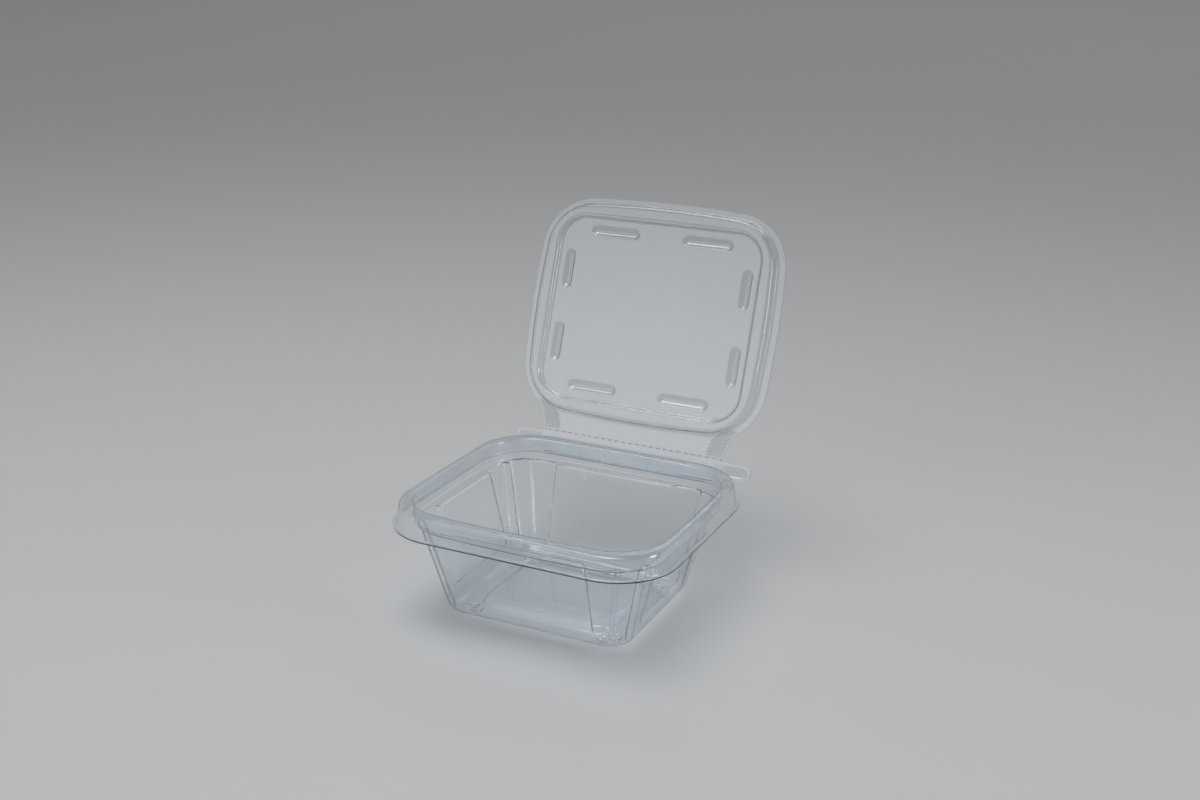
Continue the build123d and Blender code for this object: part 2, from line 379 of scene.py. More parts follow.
def round_sheet(
    name: str, place: Place, x: np.ndarray, y: np.ndarray, height: np.ndarray, thickness: float
) -> bpy.types.Object:
    """A sheet from a stack of closed outlines, filled by a fan inside the last of them.

    Args:
        name: the piece's name.
        place: where the sheet's drawing lies.
        x: coordinates across, rows by columns.
        y: coordinates up.
        height: heights off the drawing.
        thickness: wall in millimetres.

    Returns:
        The linked object, with its first outline as the cut edge.
    """
    count, columns = x.shape
    points = place.points(x, y, height).reshape(-1, 3)
    middle = place.points(np.zeros(1), np.zeros(1), height[-1:, 0])
    last = np.arange((count - 1) * columns, count * columns)
    fan = np.stack([last, np.roll(last, -1), np.full(columns, count * columns)], axis=1)
    edge = np.arange(count * columns + 1) < columns
    faces = grid_faces(count, columns, wrap=True).tolist() + fan.tolist()
    return sheet_object(name, np.concatenate([points, middle]), faces, edge, thickness)


class Signal:
    """A shader socket that takes part in sums, differences and products like a number."""

    def __init__(self, graph: "Graph", socket: bpy.types.NodeSocket) -> None:
        """Wraps one output socket of a graph."""
        self.graph = graph
        self.socket = socket

    def math(self, operation: str, first: Any, second: Any) -> "Signal":
        """The result of one Math node on two values or signals."""
        return self.graph.node("ShaderNodeMath", {"operation": operation}, {0: first, 1: second})

    def __add__(self, other: Any) -> "Signal":
        """This signal plus another value."""
        return self.math("ADD", self, other)

    def __sub__(self, other: Any) -> "Signal":
        """This signal less another value."""
        return self.math("SUBTRACT", self, other)

    def __rsub__(self, other: Any) -> "Signal":
        """Another value less this signal."""
        return self.math("SUBTRACT", other, self)

    def __mul__(self, other: Any) -> "Signal":
        """This signal times another value."""
        return self.math("MULTIPLY", self, other)

    __radd__ = __add__
    __rmul__ = __mul__


class Graph:
    """A material's or world's node tree, built by naming nodes and what feeds them."""

    def __init__(self, tree: bpy.types.NodeTree) -> None:
        """Starts from an empty tree."""
        tree.nodes.clear()
        self.tree = tree

    def node(self, kind: str, settings: dict[str, Any], inputs: dict[Any, Any], output: Any = 0) -> Signal:
        """Adds a node, sets it up and links or fills its sockets.

        Args:
            kind: the node's type.
            settings: attributes to set first.
            inputs: socket name or number, with a plain value or a signal for each.
            output: name or number of the output to return.

        Returns:
            The output as a signal.
        """
        made = self.tree.nodes.new(kind)
        for key, value in settings.items():
            setattr(made, key, value)
        for key, value in inputs.items():
            if isinstance(value, Signal):
                self.tree.links.new(value.socket, made.inputs[key])
            else:
                made.inputs[key].default_value = value
        return Signal(self, made.outputs[output] if len(made.outputs) else None)


@dataclass(frozen=True)
class ClearSheet:
    """Finish of a clear moulded sheet: a cool tint, soft ripples from the mould and a faint haze."""

    name: str
    tint: Colour = (0.93, 0.955, 0.975, 1.0)
    cloud_tint: Colour = (0.9, 0.93, 0.955, 1.0)
    index: float = 1.57
    least_roughness: float = 0.01
    haze_roughness: float = 0.03
    ripple_scale: float = 70.0
    ripple_detail: float = 2.0
    ripple_roughness: float = 0.4
    ripple_depth: float = 0.00006
    grain_scale: float = 900.0
    grain_detail: float = 1.0
    grain_roughness: float = 0.5
    shadow_pass_share: float = 0.72

    def noise(self, place: Signal, scale: float, detail: float, roughness: float) -> Signal:
        """Noise at a place, from its scale, its detail and how rough that detail is."""
        inputs = {"Vector": place, "Scale": scale, "Detail": detail, "Roughness": roughness}
        return place.graph.node("ShaderNodeTexNoise", {}, inputs)

    def material(self) -> bpy.types.Material:
        """The finish as a node material on Object coordinates.

        Ripples are a slow noise that tilts the surface, haze is a fine noise on its roughness, and lamps shine
        through most of the sheet so that its shadow stays pale.

        Returns:
            The material.
        """
        made = bpy.data.materials.new(self.name)
        made.use_nodes = True
        graph = Graph(made.node_tree)
        place = graph.node("ShaderNodeTexCoord", {}, {}, "Object")
        ripple = self.noise(place, self.ripple_scale, self.ripple_detail, self.ripple_roughness)
        grain = self.noise(place, self.grain_scale, self.grain_detail, self.grain_roughness)
        haze = ripple * grain
        bump = graph.node("ShaderNodeBump", {}, {"Strength": 1.0, "Distance": self.ripple_depth, "Height": ripple})
        colour = graph.node(
            "ShaderNodeMix",
            {"data_type": "RGBA"},
            {"Factor": ripple, MIX_FIRST: self.tint, MIX_SECOND: self.cloud_tint},
            MIX_RESULT,
        )
        surface = graph.node(
            "ShaderNodeBsdfPrincipled",
            {},
            {
                "Base Color": colour,
                "Roughness": haze * self.haze_roughness + self.least_roughness,
                "IOR": self.index,
                "Transmission Weight": 1.0,
                "Normal": bump,
            },
        )
        lit_through = graph.node("ShaderNodeBsdfTransparent", {}, {"Color": self.tint})
        shadow = graph.node("ShaderNodeLightPath", {}, {}, "Is Shadow Ray")
        mixed = graph.node(
            "ShaderNodeMixShader", {}, {"Fac": shadow * self.shadow_pass_share, 1: surface, 2: lit_through}
        )
        graph.node("ShaderNodeOutputMaterial", {}, {"Surface": mixed})
        return made


def dress(obj: bpy.types.Object, material: bpy.types.Material) -> None:
    """Gives a piece its material."""
    obj.data.materials.append(material)


@dataclass
class Tray:
    """Base of the pack: lip, skirt, rim, recess, ledge, drafted tray with panels, flutes, raised floor and feet.

    An outline is a half width, a half depth and a corner radius. A start or an end is a place along the profile.
    """

    place: Place
    sheet: float = 0.5
    lip_half_width: float = 66.0
    lip_half_depth: float = 60.0
    lip_corner: float = 27.6
    skirt_foot: Triple = (64.15, 58.15, 25.75)
    skirt_top: Triple = (62.95, 56.95, 24.55)
    recess_top: Triple = (60.15, 52.35, 23.15)
    recess_foot: Triple = (59.65, 51.85, 22.65)
    recess_bow: float = 3.0
    mouth: Triple = (54.24, 47.74, 13.74)
    floor_edge: Triple = (43.74, 37.24, 9.74)
    plateau_foot: Triple = (32.8, 26.3, 7.2)
    plateau_top: Triple = (31.25, 24.75, 7.25)
    innermost: Triple = (1.0, 0.8, 0.2)
    lip_height: float = 45.0
    rim_height: float = 55.0
    ledge_height: float = 45.3
    foot_height: float = 2.2
    plateau_rise: float = 3.3
    land_half_width: float = LIP_FOLD_HALF
    land_reach: float = 0.85
    land_end: float = 0.9
    land_fade: float = 0.5
    wall_start: tuple[float, float] = (4.45, 4.95)
    wall_end: tuple[float, float] = (5.99, 5.9)
    floor_start: float = 5.5
    panel_half_width: float = 30.5
    side_panel_half_width: float = 22.5
    panel_depth: float = 1.6
    panel_bottom: float = 10.0
    panel_bottom_fade: float = 0.8
    panel_edge: float = 1.8
    flute_radius: float = 1.7
    flute_half_span: float = 2.4
    flute_turn: float = 24.0
    flute_bottom: float = 7.0
    flute_bottom_fade: tuple[float, float] = (1.0, 1.5)
    foot_places: tuple[tuple[float, float], ...] = ((35.1, 24.5), (31.0, 28.6))
    foot_tip: float = 1.4
    foot_root: float = 2.8

    def rings(self) -> list[Ring]:
        """Middle of the sheet, from the lip's edge in to the middle of the floor."""
        half = self.sheet / 2
        rim, ledge = self.rim_height - half, self.ledge_height - half
        floor = self.foot_height + half
        plateau = floor + self.plateau_rise
        bow = self.recess_bow
        return [
            Ring(self.lip_half_width, self.lip_half_depth, self.lip_corner, self.lip_height, run_rows=2),
            Ring(*self.skirt_foot, self.lip_height, bend=0.6, bend_rows=4, run_rows=4),
            Ring(*self.skirt_top, rim, bend=1.7, bend_rows=8, run_rows=2),
            Ring(*self.recess_top, rim, bow=bow, bend=0.9, bend_rows=6, run_rows=4),
            Ring(*self.recess_foot, ledge, bow=bow, bend=0.7, bend_rows=5, run_rows=4),
            Ring(*self.mouth, ledge, bend=0.9, bend_rows=6, run_rows=28),
            Ring(*self.floor_edge, floor, bend=4.75, bend_rows=10, run_rows=13),
            Ring(*self.plateau_foot, floor, bend=0.9, bend_rows=5, run_rows=3),
            Ring(*self.plateau_top, plateau, bend=0.9, bend_rows=5, run_rows=4),
            Ring(*self.innermost, plateau),
        ]

    def turns(self) -> Turns:
        """Columns, close together at the panel edges and the flutes."""
        return Turns.spread(
            side=graded((0.0, 0.58, 7), (0.58, 1.0, 22)),
            corner=graded((0.0, 0.1, 3), (0.1, 0.37, 15), (0.37, 0.63, 6), (0.63, 0.9, 15), (0.9, 1.0, 3)),
            end=graded((0.0, 0.68, 8), (0.68, 1.0, 21)),
        )

    def wall_set_in(self, shape: Outlines, turns: Turns, height: np.ndarray, places: np.ndarray) -> np.ndarray:
        """How far the tray's wall lies inside its plain drafted form.

        Each wall has a centre panel with steep edges, and each corner two round flutes side by side. Both fade out
        above the floor, and both run on into the ledge.

        Args:
            shape: the outlines.
            turns: the columns.
            height: height of each row.
            places: place of each row along the profile.

        Returns:
            Distance inwards, rows by columns.
        """
        on_wall = (smooth_step(*self.wall_start, places) * smooth_step(*self.wall_end, places))[:, None]
        edge, end_half, side_half = self.panel_edge / 2, self.panel_half_width, self.side_panel_half_width
        end_panel = smooth_step(end_half + edge, end_half - edge, np.abs(shape.x))
        side_panel = smooth_step(side_half + edge, side_half - edge, np.abs(shape.y))
        panel = np.where(turns.at(Zone.END), end_panel, np.where(turns.at(Zone.SIDE), side_panel, 0.0))
        bottom, fade = self.panel_bottom, self.panel_bottom_fade
        panel = panel * smooth_step(bottom - fade, bottom + fade, height)
        from_diagonal = np.abs(shape.turn - math.pi / 4) - math.radians(self.flute_turn)
        across = np.clip(from_diagonal * shape.corner / self.flute_half_span, -1.0, 1.0)
        flute = np.where(turns.at(Zone.CORNER), 0.5 + 0.5 * np.cos(math.pi * across), 0.0)
        below, above = self.flute_bottom_fade
        flute = flute * smooth_step(self.flute_bottom - below, self.flute_bottom + above, height)
        return on_wall * (panel * self.panel_depth + flute * self.flute_radius)

    def build(self, material: bpy.types.Material) -> bpy.types.Object:
        """The tray as one sheet: a profile carried round bowed outlines, then set in, raised and footed.

        Args:
            material: the clear finish.

        Returns:
            The dressed piece, riding on its body.
        """
        rows, places = rounded_profile(self.rings())
        turns = self.turns()
        shape = outlines(rows, turns)
        height = np.repeat(rows[:, HEIGHT, None], len(turns.share), axis=1)
        inwards = self.wall_set_in(shape, turns, height, places)
        x = shape.x - shape.normal_x * inwards
        y = shape.y - shape.normal_y * inwards
        from_foot = np.min([np.hypot(np.abs(x) - fx, np.abs(y) - fy) for fx, fy in self.foot_places], axis=0)
        on_floor = (places > self.floor_start)[:, None]
        height = height - on_floor * self.foot_height * smooth_step(self.foot_root, self.foot_tip, from_foot)
        land, fade = self.land_half_width, self.land_fade
        on_land = smooth_step(self.land_end, 0.0, places)[:, None] * (turns.sign_y > 0)
        on_land = on_land * smooth_step(land + fade, land - fade, np.abs(x))
        y = y + on_land * np.where(y > 0, self.lip_half_depth + self.land_reach - y, 0.0)

        obj = round_sheet("clear_tray", self.place, x, y, height, self.sheet)
        dress(obj, material)
        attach(obj, Body.BASE.value)
        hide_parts("base_tray")
        return obj


@dataclass
class Lid:
    """Lid with its hinge apron: flange, plug, ring band, sunken panel and eight stacking ribs.

    An outline is a half width, a half depth and a corner radius. A start or an end is a place along the profile.
    """

    place: Place
    reach: float = FOLD_REACH
    sheet: float = THIN_SHEET
    fold_gap: float = FOLD_GAP
    flange: Triple = (63.6, 54.4, 26.0)
    plug_root: Triple = (59.43, 51.63, 22.43)
    plug_tip: Triple = (58.83, 51.03, 21.83)
    plug_bow: float = 3.0
    band_tip: Triple = (52.28, 44.78, 13.78)
    band_root: Triple = (51.68, 44.18, 13.18)
    ribs_outside: Triple = (48.9, 41.4, 11.2)
    ribs_inside: Triple = (41.9, 34.4, 7.0)
    innermost: Triple = (1.0, 0.8, 0.2)
    plug_depth: float = 5.7
    panel_height: float = 2.7
    flange_end: float = 0.8
    panel_start: float = 4.0
    neck_half_width: float = TEAR_LINE_HALF
    neck_waist: tuple[float, float] = (49.0, 7.5)
    neck_root: tuple[float, float] = (53.6, 17.0)
    rib_width: float = 5.0
    rib_depth: float = 1.5
    row_rib: Triple = (23.8, 37.7, 25.1)
    side_rib: Triple = (45.8, 18.0, 18.8)
    mark_radius: float = 27.0
    mark_width: float = 3.0
    mark_squash: float = 1.1
    mark_depth: float = 0.08
    arc_samples: int = 2000

    def rings(self) -> list[Ring]:
        """Middle of the sheet, from the flange's edge in to the middle of the panel."""
        tip, panel, bow = self.plug_depth, self.panel_height, self.plug_bow
        return [
            Ring(*self.flange, 0.0, bow=bow, run_rows=6),
            Ring(*self.plug_root, 0.0, bow=bow, bend=1.1, bend_rows=7, run_rows=3),
            Ring(*self.plug_tip, tip, bow=bow, bend=1.7, bend_rows=8, run_rows=3),
            Ring(*self.band_tip, tip, bend=1.4, bend_rows=8, run_rows=1),
            Ring(*self.band_root, panel, bend=1.4, bend_rows=8, run_rows=1),
            Ring(*self.ribs_outside, panel, run_rows=19),
            Ring(*self.ribs_inside, panel, run_rows=8),
            Ring(*self.innermost, panel),
        ]

    def turns(self) -> Turns:
        """Columns, close together at the ends of the ribs."""
        return Turns.spread(
            side=graded((0.0, 0.24, 8), (0.24, 0.4, 12), (0.4, 0.78, 14), (0.78, 0.96, 14), (0.96, 1.0, 2)),
            corner=graded((0.0, 1.0, 22)),
            end=graded((0.0, 0.25, 10), (0.25, 0.4, 13), (0.4, 0.82, 18), (0.82, 1.0, 15)),
        )

    def outer_edge(self, x: np.ndarray, y: np.ndarray) -> tuple[np.ndarray, np.ndarray]:
        """The lid's cut edge: the flange's outline, with the hinge apron in place of its lower stretch.

        The neck's hollow side is an arc through the end of the fold, the neck's waist and its root, up to where it
        meets the flange. A flange point below that goes to the same share of the apron's edge: fold line, then arc.

        Args:
            x: flange outline across, from the lid's middle.
            y: flange outline up.

        Returns:
            The edge's coordinates.
        """
        fold_y = self.fold_gap - self.reach
        foot = np.array([self.neck_half_width, fold_y])
        waist = np.array([self.neck_waist[0], self.neck_waist[1] - self.reach])
        root = np.array([self.neck_root[0], self.neck_root[1] - self.reach])
        sides = 2 * np.array([waist - foot, root - foot])
        centre = np.linalg.solve(sides, [waist @ waist - foot @ foot, root @ root - foot @ foot])
        radius = np.linalg.norm(foot - centre)
        start, stop = (math.atan2(*(p - centre)[::-1]) % math.tau for p in (foot, root))
        lower = (y < 0) & (x > 0)
        order = np.argsort(x[lower])
        angle = np.linspace(start, stop, self.arc_samples)
        arc_x, arc_y = centre[0] + radius * np.cos(angle), centre[1] + radius * np.sin(angle)
        meets = np.argmax(arc_y > np.interp(arc_x, x[lower][order], y[lower][order]))
        arc = radius * abs(angle[meets] - start)
        run = np.abs(x) / arc_x[meets] * (self.neck_half_width + arc)
        angle = start + (angle[meets] - start) * np.clip((run - self.neck_half_width) / arc, 0.0, 1.0)
        on_fold = run <= self.neck_half_width
        apron_x = np.where(on_fold, run, centre[0] + radius * np.cos(angle)) * np.sign(x)
        apron_y = np.where(on_fold, fold_y, centre[1] + radius * np.sin(angle))
        below = (y < 0) & (np.abs(x) < arc_x[meets])
        return np.where(below, apron_x, x), np.where(below, apron_y, y)

    def panel_form(self, x: np.ndarray, y: np.ndarray) -> np.ndarray:
        """Height added to the plain panel: ribs pressed away from the inside, and a faint square mark of the mould.

        Args:
            x: coordinate across, from the lid's middle.
            y: coordinate up.

        Returns:
            Heights, mostly negative.
        """
        row_x, row_y, row_length = self.row_rib
        side_x, side_y, side_length = self.side_rib
        row = stadium_distance(np.abs(x) - row_x, np.abs(y) - row_y, row_length, self.rib_width)
        side = stadium_distance(np.abs(y) - side_y, np.abs(x) - side_x, side_length, self.rib_width)
        pressed = round_groove(np.minimum(row, side), self.rib_width / 2)
        square = (x**4 + (y * self.mark_squash) ** 4) ** 0.25
        mark = np.exp(-(((square - self.mark_radius) / self.mark_width) ** 2))
        return self.mark_depth * mark - self.rib_depth * pressed

    def build(self, material: bpy.types.Material) -> bpy.types.Object:
        """The lid as one sheet: a profile carried round bowed outlines, with its apron, ribs and mark.

        Args:
            material: the clear finish.

        Returns:
            The dressed piece, riding on its body.
        """
        rows, places = rounded_profile(self.rings())
        turns = self.turns()
        shape = outlines(rows, turns)
        x, y = shape.x.copy(), shape.y.copy()
        edge_x, edge_y = self.outer_edge(x[0], y[0])
        flange_row = int(np.searchsorted(places, self.flange_end))
        share = (places[: flange_row + 1] / places[flange_row])[:, None]
        x[: flange_row + 1] = edge_x + (x[flange_row] - edge_x) * share
        y[: flange_row + 1] = edge_y + (y[flange_row] - edge_y) * share
        on_panel = (places > self.panel_start)[:, None]
        height = rows[:, HEIGHT, None] + on_panel * self.panel_form(x, y)

        obj = round_sheet("clear_lid", self.place, x, y, height, self.sheet)
        dress(obj, material)
        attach(obj, Body.LID.value)
        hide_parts("lid")
        return obj


@dataclass
class TearStrip:
    """Band between the two folds, with a ribbed pull tab at each end."""

    place: Place
    sheet: float = THIN_SHEET
    fold_gap: float = FOLD_GAP
    height: float = 10.525
    foot_half_width: float = LIP_FOLD_HALF
    foot_fade: float = 0.9
    neck_half_width: float = TEAR_LINE_HALF
    neck_fade: float = 0.7
    plain_half_length: float = 42.0
    tab_start: float = 48.0
    tab_half_length: float = 61.4
    tab_height: float = 7.9
    tab_corner: float = 3.7
    tab_rise: float = 5.6
    rib_length: float = 12.5
    rib_width: float = 5.0
    rib_depth: float = 1.0
    rib_slope: float = 0.6
    rib_end_inset: float = 1.8
    ridge_pitch: float = 1.15
    ridge_depth: float = 0.3
    ridge_fade: float = 0.5
    rows: int = 26
    tip_columns: int = 14

    def columns(self) -> np.ndarray:
        """Places along the strip, close together at the tabs."""
        plain, tab, tip = self.plain_half_length, self.tab_start, self.tab_half_length - self.tab_corner
        straight = graded((0.0, plain, 30), (plain, tab, 22), (tab, tip, 40))
        rounded = tip + self.tab_corner * np.sin(np.linspace(0.0, math.pi / 2, self.tip_columns))
        half = np.concatenate([straight, rounded])
        return np.concatenate([-half[:0:-1], half])

    def build(self, material: bpy.types.Material) -> bpy.types.Object:
        """The strip as a grid between its lower and upper edges, with ridged ribs on the tabs.

        Args:
            material: the clear finish.

        Returns:
            The dressed piece, riding on its body.
        """
        x = self.columns()[None, :]
        past = np.maximum(np.abs(x) - (self.tab_half_length - self.tab_corner), 0.0)
        rounding = np.sqrt(np.maximum(self.tab_corner**2 - past**2, 0.0))
        half_tab = self.tab_height / 2 - self.tab_corner + rounding
        middle = self.tab_rise - self.height
        foot_mix = smooth_step(self.foot_half_width, self.foot_half_width + self.foot_fade, np.abs(x))
        top_mix = smooth_step(self.neck_half_width, self.neck_half_width + self.neck_fade, np.abs(x))
        low = (self.fold_gap - self.height) * (1 - foot_mix) + (middle - half_tab) * foot_mix
        high = -self.fold_gap * (1 - top_mix) + (middle + half_tab) * top_mix
        share = np.linspace(0.0, 1.0, self.rows)[:, None]
        y = low + (high - low) * share
        x = np.repeat(x, self.rows, axis=0)
        rib_x = self.tab_half_length - self.rib_end_inset - self.rib_length / 2
        inside = stadium_distance(np.abs(x) - rib_x, y - middle, self.rib_length, self.rib_width)
        raised = round_groove(inside, self.rib_width / 2)
        ridges = 0.5 + 0.5 * np.cos(math.tau * (np.abs(x) - rib_x) / self.ridge_pitch)
        on_crest = smooth_step(-self.rib_slope, -self.rib_slope - self.ridge_fade, inside)
        z = -raised * self.rib_depth + ridges * on_crest * self.ridge_depth
        count, columns = x.shape
        index = np.arange(count * columns)
        edge = (index < columns) | (index >= (count - 1) * columns) | (index % columns == 0)
        edge |= index % columns == columns - 1
        faces = grid_faces(count, columns, wrap=False).tolist()
        obj = sheet_object("clear_tear_strip", self.place.points(x, y, z), faces, edge, self.sheet)
        dress(obj, material)
        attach(obj, Body.STRIP.value)
        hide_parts("tear_strip")
        return obj


@dataclass
class FoldWeb:
    """Thin bridge of sheet across one fold, whole or cut into ties by a perforation."""

    name: str
    bodies: tuple[Body, Body]
    start: np.ndarray
    fold: np.ndarray
    end: np.ndarray
    half_width: float
    sheet: float = THIN_SHEET
    ties: int = 1
    tie_share: float = 1.0
    bend_rows: int = 9
    tie_columns: int = 4

    def build(self, material: bpy.types.Material) -> bpy.types.Object:
        """The web as a quadratic bend from one sheet's edge to the other's, carried along the fold.

        Args:
            material: the clear finish.

        Returns:
            The dressed piece, fixed in the frame across the fold.
        """
        share = np.linspace(0.0, 1.0, self.bend_rows)[:, None]
        bend = (1 - share) ** 2 * self.start + 2 * share * (1 - share) * self.fold + share**2 * self.end
        pitch = 2 * self.half_width / self.ties
        centres = -self.half_width + pitch * (np.arange(self.ties) + 0.5)
        offsets = np.linspace(-0.5, 0.5, self.tie_columns) * pitch * self.tie_share
        x = centres[:, None, None] + offsets[None, None, :]
        points = np.broadcast_to(bend[None, :, None, :], (self.ties, self.bend_rows, self.tie_columns, 3)).copy()
        points[..., 0] += x
        quads = grid_faces(self.bend_rows, self.tie_columns, wrap=False)
        step = self.bend_rows * self.tie_columns
        faces = (np.arange(self.ties)[:, None, None] * step + quads).reshape(-1, 4)
        edge = np.zeros(self.ties * step, dtype=bool)
        obj = sheet_object(self.name, points * MILLIMETRE, faces.tolist(), edge, self.sheet)
        dress(obj, material)
        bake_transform(obj)
        return obj


@dataclass
class GripDots:
    """Two patches of small domes on the hinge apron, one at each corner of its neck."""

    lid: Lid
    pitch: float = 1.3
    dot_radius: float = 0.3
    dot_height: float = 0.25
    patch_centre: tuple[float, float] = (52.5, 0.7)
    patch_radius: float = 14.3
    edge_margin: float = 0.7
    grid_reach: int = 20
    dome_radius_shares: tuple[float, ...] = (1.0, 1.0, 0.66, 0.33)
    sunk_share: float = 0.25
    segments: int = 8

    def places(self) -> tuple[np.ndarray, np.ndarray]:
        """Dots of a diamond grid that lie in the patch's circle and inside the neck's hollow edge.

        Returns:
            Coordinates from the lid's middle, for both patches.
        """
        steps = np.arange(-self.grid_reach, self.grid_reach + 1)
        column, row = np.meshgrid(steps, steps)
        x = self.patch_centre[0] + (column + 0.5 * (row % 2)) * self.pitch
        y = self.patch_centre[1] + row * self.pitch / 2
        flange = outlines(self.lid.rings()[0].sizes()[None, :], self.lid.turns())
        edge_x, edge_y = self.lid.outer_edge(flange.x[0], flange.y[0])
        neck = (edge_x >= self.lid.neck_half_width) & (edge_y < 0)
        order = np.argsort(edge_y[neck])
        limit = np.interp(y - self.lid.reach, edge_y[neck][order], edge_x[neck][order])
        near = np.hypot(x - self.patch_centre[0], y - self.patch_centre[1]) < self.patch_radius
        kept = near & (x < limit - self.edge_margin) & (y > self.edge_margin)
        kept &= y < self.lid.neck_root[1] - self.edge_margin
        return np.concatenate([x[kept], -x[kept]]), np.tile(y[kept], 2) - self.lid.reach

    def build(self, material: bpy.types.Material) -> bpy.types.Object:
        """All the dots as one mesh: a closed low dome, a cosine of its radius, repeated at each place.

        The first ring of a dome is sunk into the sheet, so that the dome is closed below its surface.

        Args:
            material: the clear finish.

        Returns:
            The dressed piece, riding on the lid.
        """
        x, y = self.places()
        radius_share = np.array(self.dome_radius_shares)[:, None]
        sunk = (np.arange(len(radius_share)) == 0)[:, None] * self.sunk_share
        angle = np.linspace(0.0, math.tau, self.segments, endpoint=False)[None, :]
        dome_x = (radius_share * np.cos(angle) * self.dot_radius).ravel()
        dome_y = (radius_share * np.sin(angle) * self.dot_radius).ravel()
        lift = self.dot_height * np.cos(radius_share * math.pi / 2) - sunk * self.lid.sheet
        dome_z = self.lid.sheet / 2 + np.repeat(lift, self.segments, axis=1).ravel()
        count = len(radius_share) * self.segments
        points = self.lid.place.points(x[:, None] + dome_x, y[:, None] + dome_y, dome_z[None, :])
        quads = grid_faces(len(radius_share), self.segments, wrap=True)
        caps = [np.arange(self.segments)[::-1], np.arange(count - self.segments, count)]
        starts = np.arange(len(x))[:, None, None] * count
        faces = (starts + quads).reshape(-1, 4).tolist()
        faces += (starts + np.stack(caps)).reshape(-1, self.segments).tolist()
        edge = np.zeros(len(x) * count, dtype=bool)
        obj = sheet_object("clear_grip_dots", points, faces, edge, None)
        dress(obj, material)
        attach(obj, Body.LID.value)
        return obj


@dataclass(frozen=True)
class SoftBox:
    """A soft lamp: its middle, the point that it faces and its sides in millimetres, and its power in watts."""

    name: str
    place: Triple
    target: Triple
    size: tuple[float, float]
    power: float
    middle: Triple = (0.5, 0.5, 0.0)
    middle_strength: float = 1.35
    falloff: float = 2.4

    def build(self) -> None:
        """Adds the lamp, brightest in its middle and falling off with the distance squared."""
        data = bpy.data.lights.new(self.name, "AREA")
        data.shape = "RECTANGLE"
        data.size, data.size_y = (side * MILLIMETRE for side in self.size)
        data.energy = self.power
        data.use_nodes = True
        graph = Graph(data.node_tree)
        on_box = graph.node("ShaderNodeNewGeometry", {}, {}, "Parametric")
        off_middle = graph.node(
            "ShaderNodeVectorMath", {"operation": "DISTANCE"}, {0: on_box, 1: self.middle}, "Value"
        )
        strength = self.middle_strength - off_middle * off_middle * self.falloff
        shine = graph.node("ShaderNodeEmission", {}, {"Strength": strength})
        graph.node("ShaderNodeOutputLight", {}, {"Surface": shine})
        obj = bpy.data.objects.new(self.name, data)
        bpy.context.scene.collection.objects.link(obj)
        way = Vector(self.target) - Vector(self.place)
        turn = way.to_track_quat("-Z", "Y").to_matrix().to_4x4()
        obj.matrix_world = Matrix.Translation(Vector(self.place) * MILLIMETRE) @ turn


